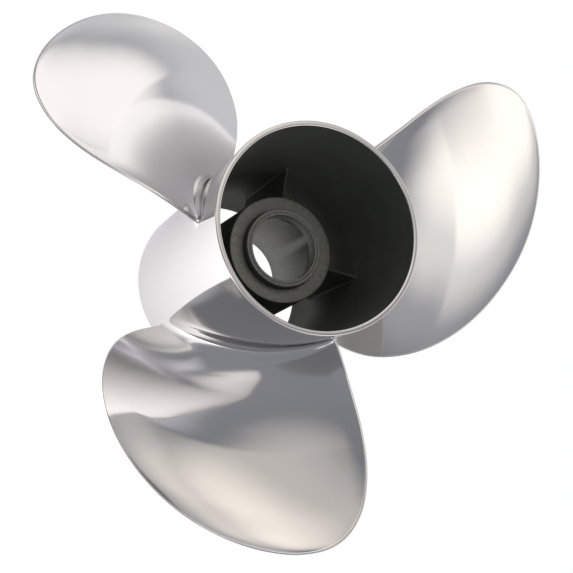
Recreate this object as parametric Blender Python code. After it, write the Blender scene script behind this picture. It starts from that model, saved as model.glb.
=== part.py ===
"""Three-bladed stainless-steel boat propeller with a hollow exhaust barrel.

The frame: metres, +Z along the shaft axis and pointing aft, the origin on the axis at the
propeller's mass centre. The fore rim is the lowest face, so the propeller stands on it, and
blade_1's tip lies within a degree of -Y. Seen from the aft end, it turns to the right.
"""

import math

import bpy
import numpy as np

MM = 0.001

# Heights along the shaft axis, from the mass centre
FORE_RIM_Z = -76.7 * MM
BARREL_LENGTH = 150.0 * MM
AFT_RIM_Z = FORE_RIM_Z + BARREL_LENGTH
HUB_AFT_Z = AFT_RIM_Z - 53.0 * MM
HUB_FORE_Z = AFT_RIM_Z - 123.0 * MM
RIB_AFT_Z = HUB_AFT_Z - 10.0 * MM

# The barrel, a thin cone that flares towards the exhaust outlet
FORE_OUTER_RADIUS = 50.8 * MM
AFT_OUTER_RADIUS = 60.0 * MM
FLARE_POWER = 1.25
AFT_WALL = 3.0 * MM
LEDGE_WALL = 3.5 * MM
FORE_WALL = 1.8 * MM
BEVEL_DEPTH = 9.0 * MM
OUTLET_RIM_DEPTH = 12.0 * MM
RIM_ROUNDING = 0.8 * MM
RIM_CUT = 0.3

# The inner hub, its raised lip and its socket, which goes from square to round
HUB_RADIUS = 30.7 * MM
HUB_CHAMFER = 0.6 * MM
LIP_OUTER_RADIUS = 22.4 * MM
LIP_BORE_RADIUS = 18.9 * MM
LIP_HEIGHT = 5.0 * MM
LIP_SEAT = 3.0 * MM
LIP_CHAMFER = 0.8 * MM
RELIEF_RADIUS = 21.0 * MM
RELIEF_DEPTH = 6.0 * MM
RELIEF_STEP = 0.5 * MM
SOCKET_HALF_WIDTH = 19.0 * MM
SOCKET_CORNER_RADIUS = 5.0 * MM
SOCKET_CORNER_ANGLE = 28.6
SOCKET_MOUTH_RADIUS = 25.0 * MM

# The four ribs that carry the inner hub in the barrel
RIB_COUNT = 4
RIB_ANGLE = -9.5
RIB_THICKNESS = 3.0 * MM

# The blades
BLADE_COUNT = 3
TIP_RADIUS = 173.6 * MM
ROOT_RADIUS = 52.0 * MM
ROOT_PITCH = 430.0 * MM
TIP_PITCH = 400.0 * MM
RAKE_SLOPE = 0.393
RAKE_ROOT_Z = AFT_RIM_Z - 83.3 * MM
RAKE_TIP_LIFT = 7.0 * MM
RAKE_TIP_POWER = 6
WIDTH_ROOT_ANGLE = 39.6
WIDTH_MID_ANGLE = 50.2
WIDTH_FULL_AT = 0.72
EDGE_RADIUS = 1.0 * MM
ROOT_THICKNESS = 8.5 * MM
TIP_THICKNESS = 2.2 * MM
THICKNESS_POWER = 0.8
CAMBER = 0.022
CUP_HEIGHT = 0.5 * MM
CUP_START = 0.86
CUP_END_SHARE = 0.25
FILLET_RADIUS = 8.0 * MM
FILLET_RUN_OUT = 20.0 * MM
FILLET_AT_EDGE = 0.25

# Skew: the angle of a blade's mid-chord line at each radius, from the propeller's offset table
SKEW_TABLE = (
    (50.0 * MM, -102.7),
    (60.0 * MM, -105.5),
    (75.0 * MM, -108.5),
    (90.0 * MM, -109.3),
    (110.0 * MM, -107.5),
    (130.0 * MM, -103.9),
    (150.0 * MM, -99.0),
    (163.0 * MM, -95.2),
    (174.0 * MM, -90.8),
)

# The gap between two pieces that touch, because the casting is split into named solids
GAP = 0.3 * MM
FOOT_GAP = 0.4 * MM

# Resolution of the solids
BARREL_SIDES = 96
HUB_SIDES = 64
LIP_SIDES = 48
BARREL_RINGS = 8
RIB_LEVELS = 5
BLADE_ROWS = 18
BLADE_COLUMNS = 16
FOOT_STRIPS = 6
ROOT_CROWDING = 1.15
TIP_CROWDING = 1.8
ROOT_STEPS = 12


def steel(name, colour, roughness):
    """A bare metal material of one colour."""
    material = bpy.data.materials.new(name)
    material.use_nodes = True
    shader = material.node_tree.nodes["Principled BSDF"]
    shader.inputs["Base Color"].default_value = (*colour, 1.0)
    shader.inputs["Metallic"].default_value = 1.0
    shader.inputs["Roughness"].default_value = roughness
    return material


def solid(name, vertices, faces, material, smooth_angle=35.0):
    """A mesh object made from its vertices and faces, with its normals turned outwards."""
    mesh = bpy.data.meshes.new(name)
    mesh.from_pydata([tuple(vertex) for vertex in vertices], [], faces)
    mesh.validate()
    mesh.materials.append(material)
    mesh.shade_smooth()
    mesh.set_sharp_from_angle(angle=math.radians(smooth_angle))
    thing = bpy.data.objects.new(name, mesh)
    bpy.context.scene.collection.objects.link(thing)
    return thing


def ring_solid(name, section, sides, material):
    """A closed ring. Its section lists (radius, z) points, clockwise with the radius to the
    right and z up, and a radius may be a function of the angle."""
    angles = np.linspace(0.0, 2.0 * math.pi, sides, endpoint=False)
    rings = []
    for radius, z in section:
        reach = radius(angles) if callable(radius) else np.full(sides, radius)
        rings.append(np.stack([reach * np.cos(angles), reach * np.sin(angles), np.full(sides, z)], axis=1))
    count = len(rings)
    faces = []
    for ring in range(count):
        after = (ring + 1) % count
        for side in range(sides):
            beside = (side + 1) % sides
            faces.append((ring * sides + side, after * sides + side,
                          after * sides + beside, ring * sides + beside))
    return solid(name, np.concatenate(rings), faces, material)


def barrel_outer(z):
    """The barrel's outer radius at height z: fore radius plus a flare that grows with height."""
    share = np.clip((z - FORE_RIM_Z) / BARREL_LENGTH, 0.0, 1.0)
    return FORE_OUTER_RADIUS + (AFT_OUTER_RADIUS - FORE_OUTER_RADIUS) * share ** FLARE_POWER


def barrel_inner(z):
    """The barrel's inner radius: the outer one less the wall, which thickens evenly from the
    outlet to the ledge, and is bevelled away from there to the fore rim."""
    ledge_z = FORE_RIM_Z + BEVEL_DEPTH
    wall = np.interp(z, [FORE_RIM_Z, ledge_z, AFT_RIM_Z], [FORE_WALL, LEDGE_WALL, AFT_WALL])
    return barrel_outer(z) - wall


def rounded_square(angles, half_width, corner_radius):
    """The distance from the axis to the side of a square with rounded corners, at each angle."""
    turn = np.mod(angles - math.radians(SOCKET_CORNER_ANGLE) + math.pi / 4.0, math.pi / 2.0) - math.pi / 4.0
    off_corner = np.abs(turn)
    flat = half_width / np.cos(math.pi / 4.0 - off_corner)
    centre = (half_width - corner_radius) * math.sqrt(2.0)
    across = centre * np.sin(off_corner)
    inside = np.clip(corner_radius ** 2 - across ** 2, 0.0, None)
    round_corner = centre * np.cos(off_corner) + np.sqrt(inside)
    touch = math.atan2(half_width - corner_radius, half_width)
    return np.where(off_corner > math.pi / 4.0 - touch, flat, round_corner)


def socket_radius(share):
    """The socket's wall at a share of its depth: a rounded square that turns into a circle."""
    def wall(angles):
        square = rounded_square(angles, SOCKET_HALF_WIDTH, SOCKET_CORNER_RADIUS)
        return square * (1.0 - share) + SOCKET_MOUTH_RADIUS * share
    return wall


def make_barrel(material):
    """The barrel from its fore rim up to the outlet rim, as one open cone."""
    top = AFT_RIM_Z - OUTLET_RIM_DEPTH - GAP
    heights = np.append(FORE_RIM_Z, np.linspace(FORE_RIM_Z + BEVEL_DEPTH, top, BARREL_RINGS - 1))
    inside = [(float(barrel_inner(z)), z) for z in heights]
    outside = [(float(barrel_outer(z)), z) for z in heights[::-1]]
    ring_solid("barrel", inside + outside, BARREL_SIDES, material)


def make_outlet_rim(material):
    """The ring that ends the barrel aft, with a flat land between two rounded edges."""
    foot = AFT_RIM_Z - OUTLET_RIM_DEPTH
    inner = float(barrel_inner(AFT_RIM_Z))
    outer = float(barrel_outer(AFT_RIM_Z))
    shoulder = AFT_RIM_Z - RIM_ROUNDING
    section = [
        (float(barrel_inner(foot)), foot),
        (float(barrel_inner(shoulder)), shoulder),
        (inner + RIM_CUT * RIM_ROUNDING, AFT_RIM_Z - RIM_CUT * RIM_ROUNDING),
        (inner + RIM_ROUNDING, AFT_RIM_Z),
        (outer - RIM_ROUNDING, AFT_RIM_Z),
        (outer - RIM_CUT * RIM_ROUNDING, AFT_RIM_Z - RIM_CUT * RIM_ROUNDING),
        (float(barrel_outer(shoulder)), shoulder),
        (float(barrel_outer(foot)), foot),
    ]
    ring_solid("outlet_rim", section, BARREL_SIDES, material)


def make_inner_hub(material):
    """The inner hub: a plain cylinder outside, and inside the socket for the drive sleeve."""
    socket_top = HUB_AFT_Z - RELIEF_DEPTH
    seat = LIP_OUTER_RADIUS + GAP
    section = [(SOCKET_MOUTH_RADIUS, HUB_FORE_Z)]
    for share in (0.75, 0.5, 0.25, 0.0):
        section.append((socket_radius(share), socket_top + (HUB_FORE_Z - socket_top) * share))
    section += [
        (RELIEF_RADIUS, socket_top + RELIEF_STEP),
        (RELIEF_RADIUS, HUB_AFT_Z - LIP_SEAT),
        (seat, HUB_AFT_Z - LIP_SEAT),
        (seat, HUB_AFT_Z),
        (HUB_RADIUS - HUB_CHAMFER, HUB_AFT_Z),
        (HUB_RADIUS, HUB_AFT_Z - HUB_CHAMFER),
        (HUB_RADIUS, HUB_FORE_Z),
    ]
    ring_solid("inner_hub", section, HUB_SIDES, material)


def make_hub_lip(material):
    """The raised lip round the bore, seated in the inner hub's aft face."""
    foot = HUB_AFT_Z - LIP_SEAT + GAP
    top = HUB_AFT_Z + LIP_HEIGHT
    section = [
        (LIP_BORE_RADIUS, foot),
        (LIP_BORE_RADIUS, top - LIP_CHAMFER),
        (LIP_BORE_RADIUS + LIP_CHAMFER, top),
        (LIP_OUTER_RADIUS - LIP_CHAMFER, top),
        (LIP_OUTER_RADIUS, top - LIP_CHAMFER),
        (LIP_OUTER_RADIUS, foot),
    ]
    ring_solid("hub_lip", section, LIP_SIDES, material)


def make_rib(number, material):
    """A radial plate from the inner hub out to the barrel, following the barrel's cone."""
    heights = np.linspace(HUB_FORE_Z, RIB_AFT_Z, RIB_LEVELS)
    near = HUB_RADIUS + GAP
    half = RIB_THICKNESS / 2.0
    angle = math.radians(RIB_ANGLE + number * 360.0 / RIB_COUNT)
    along = np.array([math.cos(angle), math.sin(angle), 0.0])
    across = np.array([-math.sin(angle), math.cos(angle), 0.0])
    up = np.array([0.0, 0.0, 1.0])
    vertices = []
    for z in heights:
        far = math.sqrt((float(barrel_inner(z)) - GAP) ** 2 - half ** 2)
        for reach, side in ((near, -half), (far, -half), (far, half), (near, half)):
            vertices.append(along * reach + across * side + up * z)
    faces = [(3, 2, 1, 0)]
    for level in range(len(heights) - 1):
        base = 4 * level
        for corner in range(4):
            beside = (corner + 1) % 4
            faces.append((base + corner, base + beside, base + 4 + beside, base + 4 + corner))
    last = 4 * (len(heights) - 1)
    faces.append((last, last + 1, last + 2, last + 3))
    solid(f"rib_{number + 1}", vertices, faces, material)


def skew_angle(radius):
    """The mid-chord angle in degrees, by a cubic through each four neighbouring table rows."""
    radii = np.array([row[0] for row in SKEW_TABLE])
    values = np.array([row[1] for row in SKEW_TABLE])
    slopes = np.gradient(values, radii)
    place = np.clip(np.searchsorted(radii, radius) - 1, 0, len(radii) - 2)
    step = radii[place + 1] - radii[place]
    t = (radius - radii[place]) / step
    start = (2 * t ** 3 - 3 * t ** 2 + 1) * values[place] + (t ** 3 - 2 * t ** 2 + t) * step * slopes[place]
    finish = (3 * t ** 2 - 2 * t ** 3) * values[place + 1] + (t ** 3 - t ** 2) * step * slopes[place + 1]
    return start + finish


def span_share(radius):
    """How far out a radius is: 0 at the root and 1 at the tip."""
    return np.clip((radius - ROOT_RADIUS) / (TIP_RADIUS - ROOT_RADIUS), 0.0, 1.0)


def pitch(radius):
    """The blade's rise in one turn, which falls evenly from the root to the tip."""
    return ROOT_PITCH + (TIP_PITCH - ROOT_PITCH) * span_share(radius)


def half_width_squared(radius):
    """The square of half the blade's angular width, which falls to zero as a line at the tip."""
    share = span_share(radius)
    lack = np.clip(1.0 - share / WIDTH_FULL_AT, 0.0, None)
    widest = WIDTH_MID_ANGLE - (WIDTH_MID_ANGLE - WIDTH_ROOT_ANGLE) * lack ** 2
    return (1.0 - share) * widest ** 2


def blade_middle(radius, chord):
    """The blade's middle surface. chord runs from -1 at the leading edge to 1 at the trailing
    edge. The angle goes with the width, and the height is the rake plus the pitch's rise."""
    width = np.sqrt(half_width_squared(radius))
    share = span_share(radius)
    turn = np.radians(chord * width)
    angle = np.radians(skew_angle(radius)) + turn
    rake = RAKE_ROOT_Z + RAKE_SLOPE * (radius - ROOT_RADIUS) + RAKE_TIP_LIFT * share ** RAKE_TIP_POWER
    z = rake + turn * pitch(radius) / (2.0 * math.pi)
    return np.stack([radius * np.cos(angle), radius * np.sin(angle), z], axis=-1)


def aft_normal(radius, chord):
    """The unit normal of the middle surface on its aft side, from two small steps."""
    step = 1e-4
    inward = np.minimum(radius, TIP_RADIUS - 5e-4)
    along_radius = blade_middle(inward + step, chord) - blade_middle(inward - step, chord)
    along_chord = blade_middle(inward, chord + step) - blade_middle(inward, chord - step)
    normal = np.cross(along_radius, along_chord)
    normal /= np.linalg.norm(normal, axis=-1, keepdims=True)
    return normal * np.sign(normal[..., 2:3])


def edge_distance(radius, chord):
    """The distance to the blade's outline: the outline's own function, which is zero on the
    outline, over the length of its slope."""
    step = 1e-4
    squared = half_width_squared(radius)
    radial_slope = (half_width_squared(radius + step) - half_width_squared(radius - step)) / (2 * step)
    metres_per_degree = math.radians(1.0) * np.sqrt(radius ** 2 + (pitch(radius) / (2 * math.pi)) ** 2)
    chord_slope = 2.0 * chord * np.sqrt(squared) / metres_per_degree
    slope = np.sqrt(radial_slope ** 2 + chord_slope ** 2) + 1e-9
    return squared * (1.0 - chord ** 2) / slope


def half_thickness(radius, chord, height_over_barrel):
    """Half the blade's thickness: a rounded edge, a lens-shaped body, and near the barrel a
    fillet shaped like a quarter circle."""
    share = span_share(radius)
    body = ROOT_THICKNESS + (TIP_THICKNESS - ROOT_THICKNESS) * share ** THICKNESS_POWER
    edge = np.clip(edge_distance(radius, chord) / EDGE_RADIUS, 0.0, 1.0)
    rounded = EDGE_RADIUS * np.sqrt(1.0 - (1.0 - edge) ** 2)
    swell = (body / 2.0 - EDGE_RADIUS) * (1.0 - chord ** 2)
    below = np.clip(FILLET_RADIUS - height_over_barrel, 0.0, FILLET_RADIUS)
    fillet = FILLET_RADIUS - np.sqrt(FILLET_RADIUS ** 2 - below ** 2)
    inland = np.clip(edge_distance(radius, chord) / FILLET_RUN_OUT, 0.0, 1.0)
    fillet *= (FILLET_AT_EDGE + (1.0 - FILLET_AT_EDGE) * inland) * np.sqrt(edge)
    return rounded + swell + fillet


def blade_side(radius, chord, side, height_over_barrel):
    """A point on the blade's aft side (side 1) or fore side (side -1): the middle surface,
    hollowed towards the fore side, cupped at the trailing edge, and half a thickness out."""
    width = np.sqrt(half_width_squared(radius))
    length = 2.0 * np.radians(width) * np.sqrt(radius ** 2 + (pitch(radius) / (2 * math.pi)) ** 2)
    hollow = -CAMBER * length * (1.0 - chord ** 2)
    cup = CUP_HEIGHT * np.clip((chord - CUP_START) / (1.0 - CUP_START), 0.0, None) ** 2
    cup = cup * np.clip((1.0 - span_share(radius)) / CUP_END_SHARE, 0.0, 1.0)
    offset = hollow + cup + side * half_thickness(radius, chord, height_over_barrel)
    return blade_middle(radius, chord) + aft_normal(radius, chord) * offset[..., None]


def on_barrel(points):
    """The points moved straight in or out to the barrel's surface plus the gap."""
    reach = np.linalg.norm(points[..., :2], axis=-1)
    wanted = barrel_outer(points[..., 2]) + FOOT_GAP
    moved = points.copy()
    moved[..., :2] *= (wanted / reach)[..., None]
    return moved


def blade_grid(side):
    """Rows of points from the root to just short of the tip, each from the leading edge to
    the trailing edge. The rows gather at the root and at the tip."""
    chord = np.sin(np.linspace(-math.pi / 2, math.pi / 2, BLADE_COLUMNS + 1))
    spread = np.linspace(0.0, 1.0, BLADE_ROWS + 1)[:-1] ** ROOT_CROWDING
    along = 1.0 - (1.0 - spread) ** TIP_CROWDING
    chord, along = np.meshgrid(chord, along)
    root = np.full_like(chord, ROOT_RADIUS)
    for _ in range(ROOT_STEPS):
        root = barrel_outer(blade_middle(root, chord)[..., 2]) + FOOT_GAP
    radius = root + (TIP_RADIUS - root) * along
    points = blade_side(radius, chord, side, radius - root)
    points[0] = on_barrel(points[0])
    return points


def make_blade(number, material):
    """A blade as one closed solid: its aft side, its fore side, a foot that follows the
    barrel, and the tip, where all the rows meet."""
    aft = blade_grid(1.0)
    fore = blade_grid(-1.0)
    rows, columns = aft.shape[0], aft.shape[1]
    middle_edges = (aft[:, [0, -1]] + fore[:, [0, -1]]) / 2.0
    aft[:, [0, -1]] = middle_edges
    tip = blade_middle(np.array([TIP_RADIUS]), np.array([0.0]))[0]

    vertices = [aft.reshape(-1, 3), fore[:, 1:-1].reshape(-1, 3)]
    aft_index = np.arange(rows * columns).reshape(rows, columns)
    fore_index = aft_index.copy()
    fore_index[:, 1:-1] = rows * columns + np.arange(rows * (columns - 2)).reshape(rows, columns - 2)
    used = rows * columns + rows * (columns - 2)

    foot_index = np.zeros((FOOT_STRIPS + 1, columns), int)
    foot_index[:, 0] = aft_index[0, 0]
    foot_index[:, -1] = aft_index[0, -1]
    foot_index[0] = aft_index[0]
    foot_index[-1] = fore_index[0]
    for strip in range(1, FOOT_STRIPS):
        share = strip / FOOT_STRIPS
        line = on_barrel(aft[0, 1:-1] * (1.0 - share) + fore[0, 1:-1] * share)
        vertices.append(line)
        foot_index[strip, 1:-1] = used + np.arange(columns - 2)
        used += columns - 2
    vertices.append(tip[None])
    tip_index = used

    faces = []
    for grid, flip in ((aft_index, True), (fore_index, False), (foot_index, False)):
        for row in range(grid.shape[0] - 1):
            for column in range(grid.shape[1] - 1):
                corners = [grid[row, column], grid[row, column + 1],
                           grid[row + 1, column + 1], grid[row + 1, column]]
                corners = list(dict.fromkeys(int(corner) for corner in corners))
                if len(corners) > 2:
                    faces.append(corners[::-1] if flip else corners)
    for column in range(columns - 1):
        faces.append((int(aft_index[-1, column + 1]), int(aft_index[-1, column]), tip_index))
        faces.append((int(fore_index[-1, column]), int(fore_index[-1, column + 1]), tip_index))

    turn = number * 2.0 * math.pi / BLADE_COUNT
    points = np.concatenate(vertices)
    cosine, sine = math.cos(turn), math.sin(turn)
    turned = np.stack([points[:, 0] * cosine - points[:, 1] * sine,
                       points[:, 0] * sine + points[:, 1] * cosine, points[:, 2]], axis=1)
    solid(f"blade_{number + 1}", turned, faces, material, smooth_angle=50.0)


def main():
    """Clear the scene and build the propeller."""
    for old in list(bpy.data.objects):
        bpy.data.objects.remove(old)
    polished = steel("polished stainless steel", (0.62, 0.60, 0.58), 0.12)
    blasted = steel("blasted dark stainless steel", (0.10, 0.10, 0.095), 0.55)
    make_barrel(polished)
    make_outlet_rim(polished)
    make_inner_hub(blasted)
    make_hub_lip(blasted)
    for number in range(RIB_COUNT):
        make_rib(number, blasted)
    for number in range(BLADE_COUNT):
        make_blade(number, polished)


main()
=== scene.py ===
"""A polished stainless-steel outboard propeller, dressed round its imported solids.

The frame has +Z along the shaft axis, pointing aft, and its origin at the mass centre. Every new
piece is a surface worked out with numpy on a grid of two parameters and sits at the origin, with
its place in its mesh. The propeller stands on its fore rim on a light table.
"""
import math

import bpy
import numpy as np
from bpy.props import FloatProperty, FloatVectorProperty, IntProperty, PointerProperty
from mathutils import Matrix, Vector


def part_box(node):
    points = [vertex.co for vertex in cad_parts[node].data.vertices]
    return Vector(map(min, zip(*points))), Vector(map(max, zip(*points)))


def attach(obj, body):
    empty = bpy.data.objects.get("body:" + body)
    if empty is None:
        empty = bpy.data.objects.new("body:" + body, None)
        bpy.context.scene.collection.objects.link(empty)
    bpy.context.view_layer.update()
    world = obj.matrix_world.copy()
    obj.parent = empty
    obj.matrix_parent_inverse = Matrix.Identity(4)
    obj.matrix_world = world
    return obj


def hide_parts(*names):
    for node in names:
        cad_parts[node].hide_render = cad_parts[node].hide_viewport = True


bl_info = {
    "name": "Outboard Propeller",
    "version": (1, 0, 0),
    "blender": (4, 5, 0),
    "location": "3D View > Sidebar > Propeller",
    "description": "Builds a polished three-bladed outboard propeller, its inner hub and its stage",
    "category": "Add Mesh",
}

MM = 0.001

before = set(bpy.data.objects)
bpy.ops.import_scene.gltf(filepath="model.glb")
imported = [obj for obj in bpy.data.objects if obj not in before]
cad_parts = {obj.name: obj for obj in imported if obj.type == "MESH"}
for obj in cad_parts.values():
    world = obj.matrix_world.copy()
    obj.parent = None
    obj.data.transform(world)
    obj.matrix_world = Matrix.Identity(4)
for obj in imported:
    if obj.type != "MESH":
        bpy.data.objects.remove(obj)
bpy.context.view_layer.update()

# What the frame gives: the heights along the shaft axis, and the radii
FORE_RIM_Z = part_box("barrel")[0].z
AFT_RIM_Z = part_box("outlet_rim")[1].z
HUB_FORE_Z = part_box("inner_hub")[0].z
HUB_AFT_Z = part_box("inner_hub")[1].z
LIP_TOP_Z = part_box("hub_lip")[1].z
RIB_FORE_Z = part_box("rib_1")[0].z
RIB_AFT_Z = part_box("rib_1")[1].z
AFT_OUTER_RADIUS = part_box("outlet_rim")[1].x
HUB_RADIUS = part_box("inner_hub")[1].x
LIP_OUTER_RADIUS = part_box("hub_lip")[1].x
TIP_RADIUS = -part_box("blade_1")[0].y
BARREL_LENGTH = AFT_RIM_Z - FORE_RIM_Z

# The most of a side that the rounding of one of its corners may take
CORNER_SHARE = 0.45

# The barrel's cone, with its walls at the outlet, at the ledge over the bevel and at the fore rim
FORE_OUTER_RADIUS = 50.8 * MM
FLARE_POWER = 1.25
AFT_WALL = 3.0 * MM
LEDGE_WALL = 3.5 * MM
FORE_WALL = 1.8 * MM
BEVEL_DEPTH = 9.0 * MM

# The rounding of its two rims, and how far its last rings keep from them
AFT_BEAD = 0.7 * MM
FORE_EDGE = 0.5 * MM
RIM_STEPS = 6
AFT_RING_GAP = 2.0 * MM
FORE_RING_GAP = 1.2 * MM

# The blade's offsets, the same as the solids have. The width angles are half widths in degrees
BLADE_COUNT = 3
ROOT_RADIUS = 52.0 * MM
RAKE_ROOT_Z = AFT_RIM_Z - 83.3 * MM
RAKE_TIP_LIFT = 7.0 * MM
RAKE_TIP_POWER = 6
WIDTH_ROOT_ANGLE = 39.6
WIDTH_MID_ANGLE = 50.2
WIDTH_FULL_AT = 0.72
THICKNESS_POWER = 0.8
EDGE_RADIUS = 1.0 * MM
CUP_START = 0.86
CUP_FADE = 4.0

# The mid-chord line: a radius and its angle in degrees
SKEW_TABLE = (
    (50.0 * MM, -102.7),
    (60.0 * MM, -105.5),
    (75.0 * MM, -108.5),
    (90.0 * MM, -109.3),
    (110.0 * MM, -107.5),
    (130.0 * MM, -103.9),
    (150.0 * MM, -99.0),
    (163.0 * MM, -95.2),
    (174.0 * MM, -90.8),
)

# What the scene shapes more finely than the solids: where along the span the belly and the swell
# end, the fillet's height at the two edges as a share, how steeply it falls towards them, and how
# deep in the barrel it starts
BELLY_END = 0.54
SWELL_END = 0.27
FILLET_AT_EDGE = 0.18
FILLET_FALL = 0.25
FILLET_SINK = 0.05 * MM

# The step for slopes, how far inside the tip they are taken, the steps of a search for a radius
# with the share of the miss that each goes back, and how rows crowd towards the tip
SLOPE_STEP = 1e-4
TIP_MARGIN = 0.5 * MM
SEARCH_STEPS = 25
SEARCH_SHARE = 0.8
ROW_CROWDING = 1.9

# The inner hub's socket: a square with rounded corners, one of them at the turn, that widens into
# a circle at the fore end, and at the aft end the relief and the lip's seat
SOCKET_TURN = math.radians(28.6)
SOCKET_HALF_WIDTH = 19.0 * MM
SOCKET_CORNER = 5.0 * MM
SOCKET_FORE_RADIUS = 25.0 * MM
SOCKET_RINGS = 13
RELIEF_DEPTH = 6.0 * MM
RELIEF_EDGE = 0.6 * MM
SEAT_DEPTH = 3.0 * MM
SEAT_RADIUS = 21.0 * MM
HUB_ROUNDING = 0.8 * MM

# How far the blasted finish goes: out from the shaft, and down from the hub's aft end
BLASTED_RADIUS = LIP_OUTER_RADIUS + 6.0 * MM
BLASTED_DEPTH = 0.3 * MM

# The lip: its bore, its foot in the seat, and the groove round its top
LIP_BORE_RADIUS = 18.9 * MM
LIP_FOOT_DEPTH = 2.9 * MM
LIP_CLEARANCE = 0.02 * MM
LIP_ROUNDING = 0.5 * MM
GROOVE_SIZE = 0.45 * MM

# The ribs, and how deep their ends go into the hub and the barrel
RIB_COUNT = 4
RIB_SINK = 0.3 * MM

# The camera: how far the line of sight leans from the shaft axis, which way the axis leans in the
# picture, the distance to the outlet's centre, how far in metres that centre is from the
# picture's centre, and the lens and sensor in millimetres
CAMERA_TILT = math.radians(26.58)
CAMERA_TURN = math.radians(28.65)
CAMERA_DISTANCE = 1.1467
CAMERA_OFFSET = (0.01755, 0.03198)
CAMERA_LENS = 133.6
CAMERA_SENSOR = 36.0

# The lamps behind the tent: azimuth, elevation, and the glow's inner and outer radius, all in
# degrees, then its strength and its colour
GLOWS = (
    (-64.0, 44.0, 5.0, 34.0, 0.62, "#FFFAF4"),
    (-36.0, 43.0, 6.0, 31.0, 0.86, "#FFF8F0"),
    (41.0, 5.0, 4.0, 19.0, 1.20, "#FFFAF8"),
    (16.0, 39.0, 6.0, 22.0, 0.85, "#FFFCF8"),
    (84.0, 59.0, 6.0, 32.0, 1.06, "#FFF6E8"),
    (84.0, 33.0, 0.0, 15.0, 0.22, "#FFF6E8"),
    (130.0, 51.0, 0.0, 26.0, 0.50, "#FFF6E8"),
    (92.0, 7.0, 5.0, 26.0, 0.56, "#F6F4FF"),
    (-148.0, 37.0, 3.0, 12.0, 2.10, "#FFFFFF"),
    (-99.0, 44.0, 5.0, 35.0, 0.23, "#FFFFFF"),
    (4.0, 12.0, 5.0, 32.0, 0.52, "#FFFFFF"),
)

# The height of a direction, from 0 at the horizon to 1 overhead, where the tent's ceiling starts
CEILING_HEIGHT = 0.9

# The lamps under the table: their place, the radius they light fully, their reach and strength
TABLE_LAMPS = (
    ((-0.24, -0.11, FORE_RIM_Z), 0.0, 0.36, 2.15),
    ((-0.54, 0.29, FORE_RIM_Z), 0.0, 0.47, 1.2),
    ((3.30, 3.00, FORE_RIM_Z), 3.5, 4.42, 0.58),
    ((0.0, 0.0, FORE_RIM_Z), 0.0, 0.035, 1.2),
)

# Half the table's side in metres, and how far its top lies under the fore rim
TABLE_HALF = 6.0
TABLE_GAP = 0.2 * MM

# The colour sockets of a Mix node by number, because its other types have sockets of these names
MIX_FIRST = 6
MIX_SECOND = 7
MIX_RESULT = 2


# Colour and nodes


def linear(hex_colour):
    """An sRGB hex colour as linear red, green, blue and an alpha of one."""
    channels = [int(hex_colour[place:place + 2], 16) / 255.0 for place in (1, 3, 5)]
    turned = [c / 12.92 if c <= 0.04045 else ((c + 0.055) / 1.055) ** 2.4 for c in channels]
    return (*turned, 1.0)


def add_node(tree, kind, settings=None, inputs=None):
    """Add one node. settings are its attributes, and inputs are values or sockets that feed it."""
    node = tree.nodes.new(kind)
    for name, value in (settings or {}).items():
        setattr(node, name, value)
    for name, value in (inputs or {}).items():
        socket = node.inputs[name]
        if isinstance(value, bpy.types.NodeSocket):
            tree.links.new(value, socket)
        else:
            socket.default_value = value
    return node


def new_material(name):
    """An empty node material with its output, as (material, tree, output)."""
    material = bpy.data.materials.new(name)
    material.use_nodes = True
    tree = material.node_tree
    tree.nodes.clear()
    output = add_node(tree, "ShaderNodeOutputMaterial")
    return material, tree, output


# A noise pattern's features are about one metre divided by its scale. The comments in the
# materials give the real size that each scale stands for


def polished_cast_stainless(colours):
    """Investment-cast stainless steel, belt-ground and buffed. To the eye it is a bright mirror
    with a slow waviness that the hand leaves and a faint grain of buffing."""
    material, tree, output = new_material("polished cast stainless steel")
    place = add_node(tree, "ShaderNodeTexCoord").outputs["Object"]
    # Waves 36 mm long
    waves = add_node(tree, "ShaderNodeTexNoise", inputs={
        "Vector": place, "Scale": 28.0, "Detail": 2.0})
    # A grain of 1.1 mm. The real one is finer, and is drawn as coarse as it needs to show
    grain = add_node(tree, "ShaderNodeTexNoise", inputs={
        "Vector": place, "Scale": 900.0, "Detail": 3.0})
    rough = add_node(tree, "ShaderNodeMapRange", inputs={
        "Value": grain.outputs["Fac"], "From Min": 0.3, "From Max": 0.7,
        "To Min": 0.07, "To Max": 0.10})
    bump = add_node(tree, "ShaderNodeBump", inputs={
        "Height": waves.outputs["Fac"], "Strength": 0.25, "Distance": 0.4 * MM})
    fine = add_node(tree, "ShaderNodeBump", inputs={
        "Height": grain.outputs["Fac"], "Strength": 0.06, "Distance": 0.02 * MM,
        "Normal": bump.outputs["Normal"]})
    shader = add_node(tree, "ShaderNodeBsdfPrincipled", inputs={
        "Base Color": colours.polished, "Metallic": 1.0, "Roughness": rough.outputs["Result"],
        "Normal": fine.outputs["Normal"]})
    tree.links.new(shader.outputs["BSDF"], output.inputs["Surface"])
    return material


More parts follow.
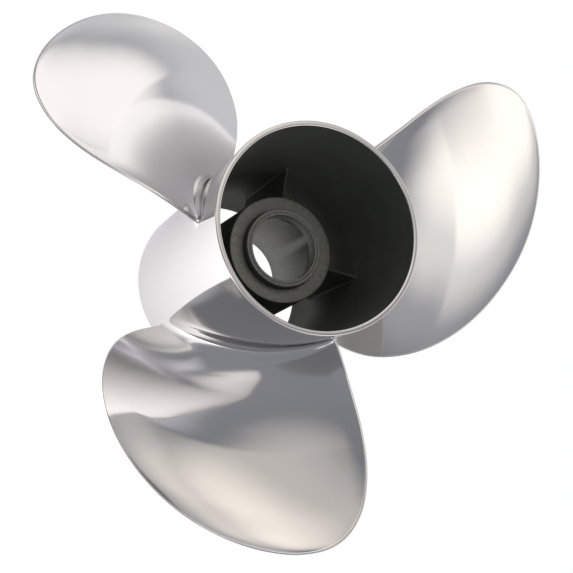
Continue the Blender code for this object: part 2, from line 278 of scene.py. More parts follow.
def dark_cast_skin(colours):
    """The cast steel's own skin inside the barrel, as it left the ceramic mould and never
    polished: dark grey-green and matt, a little clouded, with a fine tooth."""
    material, tree, output = new_material("unpolished cast steel skin")
    place = add_node(tree, "ShaderNodeTexCoord").outputs["Object"]
    # A tooth of 0.7 mm. The mould's is finer, and is drawn as coarse as it needs to show
    tooth = add_node(tree, "ShaderNodeTexNoise", inputs={
        "Vector": place, "Scale": 1400.0, "Detail": 4.0})
    # Clouds 17 mm across
    clouds = add_node(tree, "ShaderNodeTexNoise", inputs={
        "Vector": place, "Scale": 60.0, "Detail": 3.0})
    colour = add_node(tree, "ShaderNodeMix", {"data_type": "RGBA"}, {
        "Factor": clouds.outputs["Fac"], MIX_FIRST: colours.skin_dark,
        MIX_SECOND: colours.skin_light})
    bump = add_node(tree, "ShaderNodeBump", inputs={
        "Height": tooth.outputs["Fac"], "Strength": 0.5, "Distance": 0.05 * MM})
    shader = add_node(tree, "ShaderNodeBsdfPrincipled", inputs={
        "Base Color": colour.outputs[MIX_RESULT], "Metallic": 0.6, "Roughness": 0.6,
        "Normal": bump.outputs["Normal"]})
    tree.links.new(shader.outputs["BSDF"], output.inputs["Surface"])
    return material


def blasted_cast_steel(colours):
    """Grit-blasted cast steel on the hub's end and in its bore. To the eye it is a lighter,
    mottled matt grey."""
    material, tree, output = new_material("grit-blasted cast steel")
    place = add_node(tree, "ShaderNodeTexCoord").outputs["Object"]
    # Grit pits of 0.9 mm. The real ones are finer, and are drawn as coarse as they need to show
    grit = add_node(tree, "ShaderNodeTexNoise", inputs={
        "Vector": place, "Scale": 1100.0, "Detail": 3.0})
    # A mottle of 1.9 mm
    mottle = add_node(tree, "ShaderNodeTexNoise", inputs={
        "Vector": place, "Scale": 520.0, "Detail": 4.0})
    share = add_node(tree, "ShaderNodeMapRange", inputs={
        "Value": mottle.outputs["Fac"], "From Min": 0.35, "From Max": 0.65,
        "To Min": 0.0, "To Max": 1.0})
    colour = add_node(tree, "ShaderNodeMix", {"data_type": "RGBA"}, {
        "Factor": share.outputs["Result"], MIX_FIRST: colours.blasted_dark,
        MIX_SECOND: colours.blasted_light})
    bump = add_node(tree, "ShaderNodeBump", inputs={
        "Height": grit.outputs["Fac"], "Strength": 0.6, "Distance": 0.06 * MM})
    shader = add_node(tree, "ShaderNodeBsdfPrincipled", inputs={
        "Base Color": colour.outputs[MIX_RESULT], "Metallic": 0.6, "Roughness": 0.5,
        "Normal": bump.outputs["Normal"]})
    tree.links.new(shader.outputs["BSDF"], output.inputs["Surface"])
    return material


MATERIALS = {}


def material_named(maker):
    """The material that a maker function gives, made once from the steel's colours."""
    if maker.__name__ not in MATERIALS:
        MATERIALS[maker.__name__] = maker(bpy.context.scene.propeller_steel)
    return MATERIALS[maker.__name__]


# Meshes from grids


def grid_faces(rows, columns, closed_rows=False, closed_columns=False):
    """The quads of a grid of rows by columns vertices. A closed grid joins its last row or
    column to its first."""
    row_count = rows if closed_rows else rows - 1
    column_count = columns if closed_columns else columns - 1
    row, column = np.meshgrid(np.arange(row_count), np.arange(column_count), indexing="ij")
    after = (row + 1) % rows
    beside = (column + 1) % columns
    corners = [
        row * columns + column,
        row * columns + beside,
        after * columns + beside,
        after * columns + column,
    ]
    return np.stack(corners, axis=-1).reshape(-1, 4)


def mesh_piece(name, points, quads, materials, triangles=None, slots=None):
    """A piece at the origin from its points and faces, riding on the one body."""
    faces = quads.tolist()
    if triangles is not None:
        faces += triangles.tolist()
    mesh = bpy.data.meshes.new(name)
    mesh.from_pydata(points.reshape(-1, 3).tolist(), [], faces)
    for material in materials:
        mesh.materials.append(material)
    if slots is not None:
        mesh.polygons.foreach_set("material_index", np.asarray(slots, np.int32))
    mesh.shade_smooth()
    mesh.update()
    piece = bpy.data.objects.new(name, mesh)
    bpy.context.scene.collection.objects.link(piece)
    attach(piece, "root")
    return piece


def polar(radius, angle, z):
    """Cylinder coordinates as points."""
    radius, angle, z = np.broadcast_arrays(radius, angle, z)
    return np.stack([radius * np.cos(angle), radius * np.sin(angle), z], axis=-1)


def quadratic(t, start, control, finish):
    """The quadratic curve that leaves start towards the control point and ends at finish,
    coming from the control point."""
    return (1 - t) ** 2 * start + 2 * t * (1 - t) * control + t ** 2 * finish


def quarter_circle(radius, z, size, start):
    """A quarter circle in (radius, z) round a centre, clockwise from a start angle in degrees,
    where 0 points away from the shaft and 90 aft."""
    angle = np.radians(np.linspace(start, start - 90.0, RIM_STEPS + 1))
    return np.stack([radius + size * np.cos(angle), z + size * np.sin(angle)], axis=1)


def rounded_path(points, radius, steps=6):
    """A closed outline in (radius, z) with its corners rounded. Each corner is a quadratic curve
    from one point to the next, with the corner as its control point. A corner's radius is cut to
    45% of the shorter side beside it."""
    points = np.asarray(points, float)
    to_before = np.roll(points, 1, axis=0) - points
    to_after = np.roll(points, -1, axis=0) - points
    long_before = np.linalg.norm(to_before, axis=1, keepdims=True)
    long_after = np.linalg.norm(to_after, axis=1, keepdims=True)
    reach = np.minimum(radius, CORNER_SHARE * np.minimum(long_before, long_after))
    start = points + to_before / long_before * reach
    finish = points + to_after / long_after * reach
    t = np.linspace(0.0, 1.0, steps + 1)[None, :, None]
    return quadratic(t, start[:, None], points[:, None], finish[:, None]).reshape(-1, 2)


def turned_piece(name, outline, sides, materials, slots=None, wall=None):
    """A closed outline of (radius, z), clockwise with z up, carried once round the shaft axis.
    slots gives each outline point's material, and wall(outline radius, angle, z) may change the
    radius with the angle."""
    angle = np.linspace(0.0, 2.0 * math.pi, sides, endpoint=False)[None]
    radius = np.broadcast_to(outline[:, 0][:, None], (len(outline), sides))
    z = outline[:, 1][:, None]
    if wall is not None:
        radius = wall(radius, angle, z)
    quads = grid_faces(len(outline), sides, closed_rows=True, closed_columns=True)[:, ::-1]
    face_slots = None if slots is None else np.repeat(slots, sides)
    return mesh_piece(name, polar(radius, angle, z), quads, materials, slots=face_slots)


# The barrel


def barrel_outer(z):
    """The outer radius at a height: the fore radius, plus a flare that goes with the height's
    share of the length to a power a little over one."""
    share = np.clip((z - FORE_RIM_Z) / BARREL_LENGTH, 0.0, 1.0)
    return FORE_OUTER_RADIUS + (AFT_OUTER_RADIUS - FORE_OUTER_RADIUS) * share ** FLARE_POWER


def barrel_inner(z):
    """The inner radius: the outer one less the wall, which thickens evenly from the outlet to
    the ledge, and is bevelled away from there to the fore rim."""
    heights = [FORE_RIM_Z, FORE_RIM_Z + BEVEL_DEPTH, AFT_RIM_Z]
    return barrel_outer(z) - np.interp(z, heights, [FORE_WALL, LEDGE_WALL, AFT_WALL])


def make_barrel(settings):
    """The barrel and its outlet rim as one turned shell: bright outside and on the outlet's rim,
    dark cast skin inside. Each rim has two quarter circles."""
    heights = np.linspace(FORE_RIM_Z + FORE_RING_GAP, AFT_RIM_Z - AFT_RING_GAP, settings.rings)
    heights = np.sort(np.append(heights, FORE_RIM_Z + BEVEL_DEPTH))
    inside = np.stack([barrel_inner(heights), heights], axis=1)
    outside = np.stack([barrel_outer(heights), heights], axis=1)[::-1]
    bead_z = AFT_RIM_Z - AFT_BEAD
    edge_z = FORE_RIM_Z + FORE_EDGE
    lip_in = quarter_circle(barrel_inner(AFT_RIM_Z) + AFT_BEAD, bead_z, AFT_BEAD, 180.0)
    lip_out = quarter_circle(barrel_outer(AFT_RIM_Z) - AFT_BEAD, bead_z, AFT_BEAD, 90.0)
    foot_out = quarter_circle(barrel_outer(FORE_RIM_Z) - FORE_EDGE, edge_z, FORE_EDGE, 0.0)
    foot_in = quarter_circle(barrel_inner(FORE_RIM_Z) + FORE_EDGE, edge_z, FORE_EDGE, -90.0)
    outline = np.concatenate([inside, lip_in, lip_out, outside, foot_out, foot_in])
    slots = np.zeros(len(outline), np.int32)
    slots[:len(inside)] = 1
    slots[-len(foot_in):] = 1
    steels = [material_named(polished_cast_stainless), material_named(dark_cast_skin)]
    piece = turned_piece("barrel_shell", outline, settings.sides, steels, slots)
    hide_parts("barrel", "outlet_rim")


# The blades


def skew_angle(radius):
    """The mid-chord angle in degrees: through each pair of table rows runs a cubic whose slopes
    come from the rows beside them."""
    radii, values = np.array(SKEW_TABLE).T
    slopes = np.gradient(values, radii)
    row = np.clip(np.searchsorted(radii, radius) - 1, 0, len(radii) - 2)
    step = radii[row + 1] - radii[row]
    t = (radius - radii[row]) / step
    start = (2 * t ** 3 - 3 * t ** 2 + 1) * values[row]
    start = start + (t ** 3 - 2 * t ** 2 + t) * step * slopes[row]
    finish = (3 * t ** 2 - 2 * t ** 3) * values[row + 1]
    finish = finish + (t ** 3 - t ** 2) * step * slopes[row + 1]
    return start + finish


def span_share(radius):
    """How far out a radius is: 0 at the root and 1 at the tip."""
    return np.clip((radius - ROOT_RADIUS) / (TIP_RADIUS - ROOT_RADIUS), 0.0, 1.0)


def half_width_squared(radius):
    """The square of half the blade's angular width in degrees: a width that grows to its full
    value, times a share that falls to zero as a straight line at the tip."""
    share = span_share(radius)
    lack = np.clip(1.0 - share / WIDTH_FULL_AT, 0.0, None)
    widest = WIDTH_MID_ANGLE - (WIDTH_MID_ANGLE - WIDTH_ROOT_ANGLE) * lack ** 2
    return (1.0 - share) * widest ** 2


class BladeForm:
    """One blade's surface as a function of radius and chord, which runs from -1 at the leading
    edge to 1 at the trailing edge."""

    def __init__(self, settings):
        self.root_pitch = settings.root_pitch
        self.tip_pitch = settings.tip_pitch
        self.rake_slope = math.tan(settings.rake)
        self.root_thickness = settings.root_thickness
        self.tip_thickness = settings.tip_thickness
        self.camber = settings.camber
        self.belly = settings.belly
        self.swell = settings.swell
        self.cup = settings.cup

    def rise(self, radius):
        """The rise for each radian, from a pitch that falls evenly from the root to the tip."""
        pitch = self.root_pitch + (self.tip_pitch - self.root_pitch) * span_share(radius)
        return pitch / (2.0 * math.pi)

    def middle(self, radius, chord):
        """The middle surface: the angle goes with the width, and the height is the rake plus the
        pitch's rise for that angle."""
        turn = np.radians(chord * np.sqrt(half_width_squared(radius)))
        angle = np.radians(skew_angle(radius)) + turn
        lift = RAKE_TIP_LIFT * span_share(radius) ** RAKE_TIP_POWER
        rake = self.rake_slope * (radius - ROOT_RADIUS)
        return polar(radius, angle, RAKE_ROOT_Z + rake + lift + turn * self.rise(radius))

    def aft_normal(self, radius, chord):
        """The middle surface's unit normal on its aft side, from two small steps."""
        step = SLOPE_STEP
        inward = np.minimum(radius, TIP_RADIUS - TIP_MARGIN)
        along_radius = self.middle(inward + step, chord) - self.middle(inward - step, chord)
        along_chord = self.middle(inward, chord + step) - self.middle(inward, chord - step)
        normal = np.cross(along_radius, along_chord)
        normal /= np.linalg.norm(normal, axis=-1, keepdims=True)
        return normal * np.sign(normal[..., 2:3])

    def edge_distance(self, radius, chord):
        """The distance to the outline: the function that is zero on it, over its slope."""
        step = SLOPE_STEP
        squared = half_width_squared(radius)
        difference = half_width_squared(radius + step) - half_width_squared(radius - step)
        radial_slope = difference / (2 * step)
        metres_per_degree = math.radians(1.0) * np.hypot(radius, self.rise(radius))
        chord_slope = 2.0 * chord * np.sqrt(squared) / metres_per_degree
        # The tiny number keeps the tip, where both slopes may be zero, from dividing by zero
        return squared * (1.0 - chord ** 2) / (np.hypot(radial_slope, chord_slope) + 1e-9)

    def surface(self, radius, chord, side):
        """A point on the aft side (side 1) or the fore side (side -1): the middle surface, bowed
        to the fore side by the camber and by a belly in the inner part, cupped at the trailing
        edge, and half a thickness out. The thickness is a rounded edge plus a lens-shaped body.
        The aft side also swells towards the root, mid-chord."""
        share = span_share(radius)
        lens = 1.0 - chord ** 2
        arc = np.hypot(radius, self.rise(radius))
        length = 2.0 * np.radians(np.sqrt(half_width_squared(radius))) * arc
        belly = self.belly * np.sin(math.pi * np.clip(share / BELLY_END, 0.0, 1.0))
        swell = self.swell * np.clip(1.0 - share / SWELL_END, 0.0, None) ** 2 * lens
        bow = -(self.camber * length + belly) * lens
        bow = bow + np.where(side > 0.0, swell, 0.0)
        cup = self.cup * np.clip((chord - CUP_START) / (1.0 - CUP_START), 0.0, None) ** 2
        cup = cup * np.clip(CUP_FADE * (1.0 - share), 0.0, 1.0)
        body = self.tip_thickness - self.root_thickness
        body = self.root_thickness + body * share ** THICKNESS_POWER
        edge = np.clip(self.edge_distance(radius, chord) / EDGE_RADIUS, 0.0, 1.0)
        half = EDGE_RADIUS * np.sqrt(1.0 - (1.0 - edge) ** 2) + (body / 2 - EDGE_RADIUS) * lens
        out = (bow + cup + side * half)[..., None]
        return self.middle(radius, chord) + self.aft_normal(radius, chord) * out

    def radius_at_height(self, height, chord, side):
        """The radius whose point on that side is this height over the barrel. The search starts
        at the root, and each step goes back by a share of the miss."""
        radius = np.full(chord.shape, ROOT_RADIUS)
        for _ in range(SEARCH_STEPS):
            point = self.surface(radius, chord, side)
            over = np.hypot(point[..., 0], point[..., 1]) - barrel_outer(point[..., 2])
            radius = radius - SEARCH_SHARE * (over - height)
        return radius


def unrolled(points):
    """Points as height over the barrel, angle and z, the angle taken near the blade's own."""
    radius = np.hypot(points[..., 0], points[..., 1])
    centre = math.radians(SKEW_TABLE[0][1])
    angle = np.arctan2(points[..., 1], points[..., 0])
    angle = centre + np.mod(angle - centre + math.pi, 2 * math.pi) - math.pi
    return np.stack([radius - barrel_outer(points[..., 2]), angle, points[..., 2]], axis=-1)


def rolled(flat):
    """The way back from height over the barrel, angle and z."""
    return polar(barrel_outer(flat[..., 2]) + flat[..., 0], flat[..., 1], flat[..., 2])


def blade_surface(form, settings):
    """All the points of one blade, in rows from the foot of its fillet to its tip. A row goes
    round the section: the aft side from leading to trailing edge, and back on the fore side.
    The fillet is a quadratic curve on the unrolled barrel. It starts on the barrel, square off
    the blade, aims at the line where the blade would meet the barrel, and ends on the blade."""
    count = 2 * settings.columns
    turn = np.linspace(0.0, 2.0 * math.pi, count, endpoint=False)
    chord = -np.cos(turn)
    side = np.where(turn <= math.pi, 1.0, -1.0)
    fullness = (1.0 - chord ** 2) ** FILLET_FALL
    height = settings.fillet * (FILLET_AT_EDGE + (1.0 - FILLET_AT_EDGE) * fullness)
    meets = unrolled(form.surface(form.radius_at_height(0.0, chord, side), chord, side))
    starts_at = form.radius_at_height(height, chord, side)
    starts = unrolled(form.surface(starts_at, chord, side))

    barrel_radius = barrel_outer(meets[:, 2])
    line = np.stack([meets[:, 1] * barrel_radius, meets[:, 2]], axis=1)
    tangent = np.roll(line, -1, axis=0) - np.roll(line, 1, axis=0)
    tangent /= np.linalg.norm(tangent, axis=1, keepdims=True)
    outward = np.stack([-tangent[:, 1], tangent[:, 0]], axis=1)
    away = line + outward * height[:, None]
    foot = np.stack([np.zeros(count), away[:, 0] / barrel_radius, away[:, 1]], axis=1)
    t = np.linspace(0.0, 1.0, settings.fillet_rows, endpoint=False)[:, None, None]
    fillet = quadratic(t, foot, meets, starts)
    fillet[0, :, 0] -= FILLET_SINK

    along = np.linspace(0.0, 1.0, settings.rows, endpoint=False)[:, None]
    along = 1.0 - (1.0 - along) ** ROW_CROWDING
    radius = starts_at + (TIP_RADIUS - starts_at) * along
    blade = form.surface(radius, chord, side)
    tip = form.middle(np.array([TIP_RADIUS]), np.array([0.0]))
    return np.concatenate([rolled(fillet), blade]), tip


def make_blades(settings):
    """The three blades, each turned a third of a circle from the last."""
    rows, tip = blade_surface(BladeForm(settings), settings)
    count, columns = rows.shape[:2]
    quads = grid_faces(count, columns, closed_columns=True)
    last = (count - 1) * columns + np.arange(columns)
    top = np.stack([last, np.roll(last, -1), np.full(columns, count * columns)], axis=1)
    points = np.concatenate([rows.reshape(-1, 3), tip])
    steels = [material_named(polished_cast_stainless)]
    for number in range(BLADE_COUNT):
        turn = np.array(Matrix.Rotation(number * 2.0 * math.pi / BLADE_COUNT, 3, "Z"))
        name = f"blade_{number + 1}"
        piece = mesh_piece(name + "_surface", points @ turn.T, quads, steels, triangles=top)
        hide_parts(name)


# The inner hub, its lip and its ribs


def socket_square(angle):
    """The radius of the socket's square at an angle. Near a corner it is the far side of the
    corner's circle, and elsewhere the flat side."""
    turn = np.abs(np.mod(angle - SOCKET_TURN + math.pi / 4, math.pi / 2) - math.pi / 4)
    flat = SOCKET_HALF_WIDTH / np.cos(math.pi / 4 - turn)
    centre = (SOCKET_HALF_WIDTH - SOCKET_CORNER) * math.sqrt(2.0)
    inside = np.clip(SOCKET_CORNER ** 2 - (centre * np.sin(turn)) ** 2, 0.0, None)
    around = centre * np.cos(turn) + np.sqrt(inside)
    touch = math.atan2(SOCKET_HALF_WIDTH - SOCKET_CORNER, SOCKET_HALF_WIDTH)
    return np.where(turn > math.pi / 4 - touch, flat, around)


def make_inner_hub(settings):
    """The inner hub: a cylinder with a socket that goes evenly from a rounded square at the
    relief to a circle at the fore end. Its end and its bore are blasted, and its outside isn't."""
    socket_top = HUB_AFT_Z - RELIEF_DEPTH
    depth = HUB_FORE_Z - socket_top
    shares = np.linspace(1.0, 0.0, SOCKET_RINGS + 1)[1:]
    seat_z = HUB_AFT_Z - SEAT_DEPTH
    # A radius of nought in the outline stands for the socket's own
    outline = [(SOCKET_FORE_RADIUS, HUB_FORE_Z)]
    outline += [(0.0, socket_top + depth * share) for share in shares]
    outline += [
        (SEAT_RADIUS, socket_top + RELIEF_EDGE),
        (SEAT_RADIUS, seat_z),
        (LIP_OUTER_RADIUS, seat_z),
        (LIP_OUTER_RADIUS, HUB_AFT_Z),
        (HUB_RADIUS, HUB_AFT_Z),
        (HUB_RADIUS, HUB_FORE_Z),
    ]
    outline = rounded_path(outline, HUB_ROUNDING, steps=4)

    def wall(radius, angle, z):
        """The socket's radius where the outline gives none."""
        share = np.clip((z - socket_top) / depth, 0.0, 1.0)
        socket = socket_square(angle) * (1 - share) + SOCKET_FORE_RADIUS * share
        return np.where(radius < SEAT_RADIUS - 0.1 * MM, socket, radius)

    bore = outline[:, 0] < BLASTED_RADIUS
    end = np.abs(outline[:, 1] - HUB_AFT_Z) < BLASTED_DEPTH
    steels = [material_named(dark_cast_skin), material_named(blasted_cast_steel)]
    piece = turned_piece("inner_hub_body", outline, settings.sides, steels,
                         np.where(bore | end, 1, 0), wall)
    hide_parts("inner_hub")


def make_hub_lip(settings):
    """The raised lip round the bore: a turned ring with a shallow groove round its top."""
    bore = LIP_BORE_RADIUS
    outer = LIP_OUTER_RADIUS - LIP_CLEARANCE
    foot = HUB_AFT_Z - LIP_FOOT_DEPTH
    groove = (bore + outer) / 2
    outline = [
        (bore, foot),
        (bore, LIP_TOP_Z),
        (groove - GROOVE_SIZE, LIP_TOP_Z),
        (groove, LIP_TOP_Z - GROOVE_SIZE),
        (groove + GROOVE_SIZE, LIP_TOP_Z),
        (outer, LIP_TOP_Z),
        (outer, foot),
    ]
    outline = rounded_path(outline, LIP_ROUNDING)
    steels = [material_named(blasted_cast_steel)]
    piece = turned_piece("hub_lip_ring", outline, settings.sides, steels)
    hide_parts("hub_lip")


def make_ribs(settings):
    """Four plates from the inner hub to the barrel, with rounded edges and a fillet at each end.
    A rib's section at a share of its reach is a long rounded bar, thinner at its aft edge, whose
    half thickness grows by a quarter circle near the hub and near the barrel."""
    share = np.linspace(0.0, 1.0, settings.rows)[:, None]
    turn = np.linspace(0.0, 2.0 * math.pi, settings.columns, endpoint=False)[None]
    middle = (RIB_AFT_Z + RIB_FORE_Z) / 2
    near_end = np.minimum(share, 1.0 - share) * (barrel_inner(middle) - HUB_RADIUS)
    below = np.clip(settings.fillet - near_end, 0.0, None)
    half = settings.thickness / 2 + settings.fillet - np.sqrt(settings.fillet ** 2 - below ** 2)
    upper = np.where(np.sin(turn) >= 0.0, 1.0, -1.0)
    half = half * np.where(upper > 0.0, settings.taper, 1.0)
    half_height = (RIB_AFT_Z - RIB_FORE_Z) / 2 - settings.thickness / 2
    z = middle + upper * half_height + settings.thickness / 2 * np.sin(turn)
    z = np.broadcast_to(z, (settings.rows, settings.columns))
    across = half * np.cos(turn)
    near = HUB_RADIUS - RIB_SINK
    radius = near + (barrel_inner(z) + RIB_SINK - near) * share
    quads = grid_faces(settings.rows, settings.columns, closed_columns=True)
    steels = [material_named(dark_cast_skin)]
    for number in range(RIB_COUNT):
        angle = settings.first_angle + 2.0 * math.pi / RIB_COUNT * number
        x = radius * math.cos(angle) - across * math.sin(angle)
        y = radius * math.sin(angle) + across * math.cos(angle)
        name = f"rib_{number + 1}"
        piece = mesh_piece(name + "_plate", np.stack([x, y, z], axis=-1), quads, steels)
        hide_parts(name)


# The stage


def light_table(settings):
    """Matt white acrylic with lamps under it. The camera sees it lit through everywhere, as plain
    white, and the metal sees its shaded top with the lamps' pools of light."""
    material, tree, output = new_material("matt white acrylic")
    place = add_node(tree, "ShaderNodeTexCoord").outputs["Object"]
    light = settings.table
    for centre, full, reach, strength in TABLE_LAMPS:
        away = add_node(tree, "ShaderNodeVectorMath", {"operation": "DISTANCE"}, {
            0: place, 1: centre})
        pool = add_node(tree, "ShaderNodeMapRange", {"interpolation_type": "SMOOTHSTEP"}, {
            "Value": away.outputs["Value"], "From Min": reach, "From Max": full,
            "To Min": 0.0, "To Max": strength})
        light = add_node(tree, "ShaderNodeMath", {"operation": "ADD"}, {
            0: pool.outputs["Result"], 1: light}).outputs["Value"]
    lamp = add_node(tree, "ShaderNodeEmission", inputs={
        "Color": settings.lamp_colour, "Strength": light})
    matt = add_node(tree, "ShaderNodeBsdfPrincipled", inputs={
        "Base Color": settings.table_colour, "Roughness": 0.25})
    top = add_node(tree, "ShaderNodeAddShader", inputs={
        0: matt.outputs["BSDF"], 1: lamp.outputs["Emission"]})
    white = add_node(tree, "ShaderNodeEmission", inputs={
        "Color": linear("#FFFFFF"), "Strength": 1.0})
    seen = add_node(tree, "ShaderNodeLightPath").outputs["Is Camera Ray"]
    mix = add_node(tree, "ShaderNodeMixShader", inputs={
        "Fac": seen, 1: top.outputs["Shader"], 2: white.outputs["Emission"]})
    tree.links.new(mix.outputs["Shader"], output.inputs["Surface"])
    return material


def make_floor(settings):
    """The light table: a large square floor just under the fore rim."""
    half = TABLE_HALF
    z = FORE_RIM_Z - TABLE_GAP
    corners = [(-half, -half, z), (half, -half, z), (half, half, z), (-half, half, z)]
    mesh = bpy.data.meshes.new("floor")
    mesh.from_pydata(corners, [], [(0, 1, 2, 3)])
    mesh.materials.append(light_table(settings))
    floor = bpy.data.objects.new("floor", mesh)
    bpy.context.scene.collection.objects.link(floor)


def camera_axes():
    """The camera's right, up and backward directions in the object's frame, as columns. The shaft
    axis leans by the tilt from the line of sight, towards the turn's angle in the picture."""
    sine = math.sin(CAMERA_TILT)
    axis = Vector((sine * math.cos(CAMERA_TURN), sine * math.sin(CAMERA_TURN),
                   math.cos(CAMERA_TILT)))
    first = (Vector((1.0, 0.0, 0.0)) - axis.x * axis).normalized()
    second = axis.cross(first)
    return Matrix((first, second, axis))


def make_camera():
    """The camera, at the photograph's angle and distance."""
    axes = camera_axes()
    data = bpy.data.cameras.new("camera")
    data.lens = CAMERA_LENS
    data.sensor_width = CAMERA_SENSOR
    camera = bpy.data.objects.new("camera", data)
    offset = Vector((-CAMERA_OFFSET[0], -CAMERA_OFFSET[1], CAMERA_DISTANCE))
    place = Vector((0.0, 0.0, AFT_RIM_Z)) + axes @ offset
    camera.matrix_world = Matrix.Translation(place) @ axes.to_4x4()
    bpy.context.scene.collection.objects.link(camera)
    bpy.context.scene.camera = camera


def direction(azimuth, elevation):
    """A unit vector from degrees round from +X and degrees up."""
    azimuth, elevation = math.radians(azimuth), math.radians(elevation)
    across = math.cos(elevation)
    return (across * math.cos(azimuth), across * math.sin(azimuth), math.sin(elevation))


def make_world(settings):
    """A studio tent: a grey surround, with a round soft glow where each lamp shines through."""
    world = bpy.data.worlds.new("studio tent")
    world.use_nodes = True
    tree = world.node_tree
    tree.nodes.clear()
    toward = add_node(tree, "ShaderNodeTexCoord").outputs["Generated"]
    height = add_node(tree, "ShaderNodeSeparateXYZ", inputs={"Vector": toward}).outputs["Z"]
    wall = add_node(tree, "ShaderNodeMapRange", {"interpolation_type": "SMOOTHSTEP"}, {
        "Value": height, "From Min": 0.0, "From Max": CEILING_HEIGHT,
        "To Min": settings.wall, "To Max": settings.ceiling})
    light = add_node(tree, "ShaderNodeVectorMath", {"operation": "SCALE"}, {
        "Vector": settings.tent_colour[:3], "Scale": wall.outputs["Result"]}).outputs["Vector"]
    for azimuth, elevation, inner, outer, strength, colour in GLOWS:
        near = add_node(tree, "ShaderNodeVectorMath", {"operation": "DOT_PRODUCT"}, {
            0: toward, 1: direction(azimuth, elevation)})
        glow = add_node(tree, "ShaderNodeMapRange", {"interpolation_type": "SMOOTHSTEP"}, {
            "Value": near.outputs["Value"], "From Min": math.cos(math.radians(outer)),
            "From Max": math.cos(math.radians(inner)), "To Min": 0.0, "To Max": strength})
        tinted = add_node(tree, "ShaderNodeVectorMath", {"operation": "SCALE"}, {
            "Vector": linear(colour)[:3], "Scale": glow.outputs["Result"]})
        light = add_node(tree, "ShaderNodeVectorMath", {"operation": "ADD"}, {
            0: light, 1: tinted.outputs["Vector"]}).outputs["Vector"]
    shader = add_node(tree, "ShaderNodeBackground", inputs={"Color": light})
    output = add_node(tree, "ShaderNodeOutputWorld")
    tree.links.new(shader.outputs["Background"], output.inputs["Surface"])
    bpy.context.scene.world = world


# Settings


class BarrelSettings(bpy.types.PropertyGroup):
    """Sizes of the barrel's shell."""

    sides: IntProperty(name="Sides", description="Faces round the barrel", default=288, min=24)
    rings: IntProperty(name="Rings", description="Rings along the barrel", default=48, min=4)


class BladeSettings(bpy.types.PropertyGroup):
    """Sizes of the blades."""

    root_pitch: FloatProperty(
        name="Root pitch", description="Rise in one turn at the root",
        default=0.430, unit="LENGTH")
    tip_pitch: FloatProperty(
        name="Tip pitch", description="Rise in one turn at the tip",
        default=0.400, unit="LENGTH")
    rake: FloatProperty(
        name="Rake", description="Lean towards the outlet",
        default=math.atan(0.393), subtype="ANGLE")
    root_thickness: FloatProperty(
        name="Root thickness", description="Thickness at the root",
        default=0.0085, unit="LENGTH")
    tip_thickness: FloatProperty(
        name="Tip thickness", description="Thickness at the tip",
        default=0.0022, unit="LENGTH")
    camber: FloatProperty(
        name="Camber", description="Bow of the section as a share of its length",
        default=0.022, min=0.0, max=1.0, subtype="FACTOR")
    belly: FloatProperty(
        name="Belly", description="Extra bow of the section in the inner part of the blade",
        default=0.0015, unit="LENGTH")
    swell: FloatProperty(
        name="Swell", description="Extra thickness of the aft side at the root",
        default=0.0063, unit="LENGTH")
    cup: FloatProperty(
        name="Cup", description="Curl of the trailing edge",
        default=0.0005, unit="LENGTH")
    fillet: FloatProperty(
        name="Fillet", description="Height of the root fillet",
        default=0.008, unit="LENGTH")
    rows: IntProperty(
        name="Rows", description="Rows from the fillet to the tip", default=120, min=8)
    columns: IntProperty(
        name="Columns", description="Columns on each side", default=110, min=8)
    fillet_rows: IntProperty(
        name="Fillet rows", description="Rows in the fillet", default=14, min=2)


class HubSettings(bpy.types.PropertyGroup):
    """Sizes of the inner hub and its lip."""

    sides: IntProperty(name="Sides", description="Faces round the hub", default=192, min=24)


class RibSettings(bpy.types.PropertyGroup):
    """Sizes of the ribs."""

    thickness: FloatProperty(
        name="Thickness", description="Thickness of a rib at its fore edge",
        default=0.003, unit="LENGTH")
    taper: FloatProperty(
        name="Taper", description="Thickness at the aft edge as a share",
        default=0.6, min=0.0, max=1.0, subtype="FACTOR")
    fillet: FloatProperty(
        name="Fillet", description="Radius of the fillets at both ends",
        default=0.0015, unit="LENGTH")
    first_angle: FloatProperty(
        name="First angle", description="Turn from +X to the first rib",
        default=math.radians(-9.5), subtype="ANGLE")
    rows: IntProperty(name="Rows", description="Rows from hub to barrel", default=24, min=4)
    columns: IntProperty(
        name="Columns", description="Columns round the section", default=64, min=8)


class SteelSettings(bpy.types.PropertyGroup):
    """Colours of the steel's three finishes."""

    polished: FloatVectorProperty(
        name="Polished", description="Colour of the polished steel",
        default=linear("#CFCDCB"), size=4, subtype="COLOR", min=0.0, max=1.0)
    skin_dark: FloatVectorProperty(
        name="Skin, dark", description="Darker colour of the unpolished skin",
        default=linear("#585B54"), size=4, subtype="COLOR", min=0.0, max=1.0)
    skin_light: FloatVectorProperty(
        name="Skin, light", description="Lighter colour of the unpolished skin",
        default=linear("#6A6D66"), size=4, subtype="COLOR", min=0.0, max=1.0)
    blasted_dark: FloatVectorProperty(
        name="Blasted, dark", description="Darker colour of the blasted steel",
        default=linear("#6A6B66"), size=4, subtype="COLOR", min=0.0, max=1.0)
    blasted_light: FloatVectorProperty(
        name="Blasted, light", description="Lighter colour of the blasted steel",
        default=linear("#777872"), size=4, subtype="COLOR", min=0.0, max=1.0)


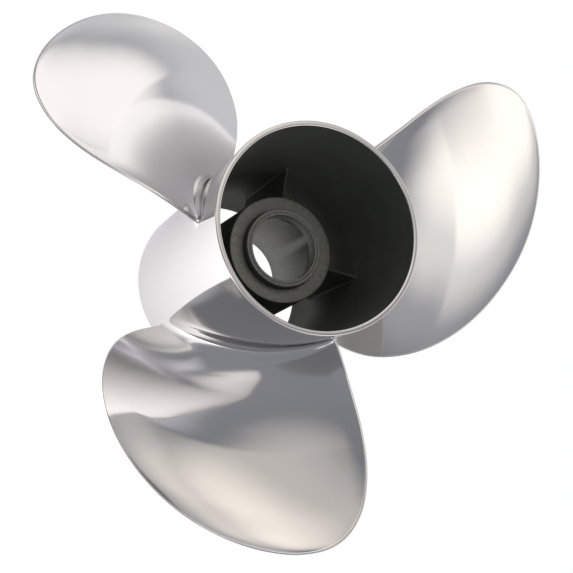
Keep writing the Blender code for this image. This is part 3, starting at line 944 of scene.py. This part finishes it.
class StageSettings(bpy.types.PropertyGroup):
    """Brightness and colours of the stage."""

    wall: FloatProperty(
        name="Wall", description="Brightness of the tent at the table", default=0.47, min=0.0)
    ceiling: FloatProperty(
        name="Ceiling", description="Brightness of the tent overhead", default=0.38, min=0.0)
    table: FloatProperty(
        name="Table", description="Brightness of the table away from its lamps",
        default=0.07, min=0.0)
    tent_colour: FloatVectorProperty(
        name="Tent", description="Colour of the tent",
        default=linear("#DEE1EC"), size=4, subtype="COLOR", min=0.0, max=1.0)
    table_colour: FloatVectorProperty(
        name="Table top", description="Colour of the table's top",
        default=linear("#C4C4C8"), size=4, subtype="COLOR", min=0.0, max=1.0)
    lamp_colour: FloatVectorProperty(
        name="Table lamps", description="Colour of the lamps under the table",
        default=linear("#FCFAFC"), size=4, subtype="COLOR", min=0.0, max=1.0)


# Operators


class PROPELLER_OT_barrel(bpy.types.Operator):
    """Make the barrel and its outlet rim"""

    bl_idname = "propeller.barrel"
    bl_label = "Barrel"

    def execute(self, context):
        make_barrel(context.scene.propeller_barrel)
        return {"FINISHED"}


class PROPELLER_OT_blades(bpy.types.Operator):
    """Make the three blades"""

    bl_idname = "propeller.blades"
    bl_label = "Blades"

    def execute(self, context):
        make_blades(context.scene.propeller_blades)
        return {"FINISHED"}


class PROPELLER_OT_inner_hub(bpy.types.Operator):
    """Make the inner hub and its lip"""

    bl_idname = "propeller.inner_hub"
    bl_label = "Inner hub"

    def execute(self, context):
        make_inner_hub(context.scene.propeller_hub)
        make_hub_lip(context.scene.propeller_hub)
        return {"FINISHED"}


class PROPELLER_OT_ribs(bpy.types.Operator):
    """Make the four ribs"""

    bl_idname = "propeller.ribs"
    bl_label = "Ribs"

    def execute(self, context):
        make_ribs(context.scene.propeller_ribs)
        return {"FINISHED"}


class PROPELLER_OT_stage(bpy.types.Operator):
    """Make the light table, the camera and the tent with its lamps"""

    bl_idname = "propeller.stage"
    bl_label = "Stage"

    def execute(self, context):
        settings = context.scene.propeller_stage
        make_floor(settings)
        make_camera()
        make_world(settings)
        context.scene.view_settings.view_transform = "Standard"
        return {"FINISHED"}


class PROPELLER_PT_panel(bpy.types.Panel):
    """The propeller's pieces in the 3D view's sidebar."""

    bl_idname = "PROPELLER_PT_panel"
    bl_label = "Propeller"
    bl_space_type = "VIEW_3D"
    bl_region_type = "UI"
    bl_category = "Propeller"

    def draw(self, context):
        for operator in OPERATORS:
            self.layout.operator(operator.bl_idname)


SETTINGS = {
    "propeller_barrel": BarrelSettings,
    "propeller_blades": BladeSettings,
    "propeller_hub": HubSettings,
    "propeller_ribs": RibSettings,
    "propeller_steel": SteelSettings,
    "propeller_stage": StageSettings,
}
OPERATORS = (
    PROPELLER_OT_barrel,
    PROPELLER_OT_blades,
    PROPELLER_OT_inner_hub,
    PROPELLER_OT_ribs,
    PROPELLER_OT_stage,
)


def register():
    """Register the settings, the operators and the panel."""
    for name, group in SETTINGS.items():
        bpy.utils.register_class(group)
        setattr(bpy.types.Scene, name, PointerProperty(type=group))
    for operator in OPERATORS:
        bpy.utils.register_class(operator)
    bpy.utils.register_class(PROPELLER_PT_panel)


def unregister():
    """Take away what register added."""
    bpy.utils.unregister_class(PROPELLER_PT_panel)
    for operator in reversed(OPERATORS):
        bpy.utils.unregister_class(operator)
    for name, group in SETTINGS.items():
        delattr(bpy.types.Scene, name)
        bpy.utils.unregister_class(group)


def main():
    """Make every piece in order."""
    register()
    bpy.ops.propeller.barrel()
    bpy.ops.propeller.blades()
    bpy.ops.propeller.inner_hub()
    bpy.ops.propeller.ribs()
    bpy.ops.propeller.stage()


if __name__ == "__main__":
    main()
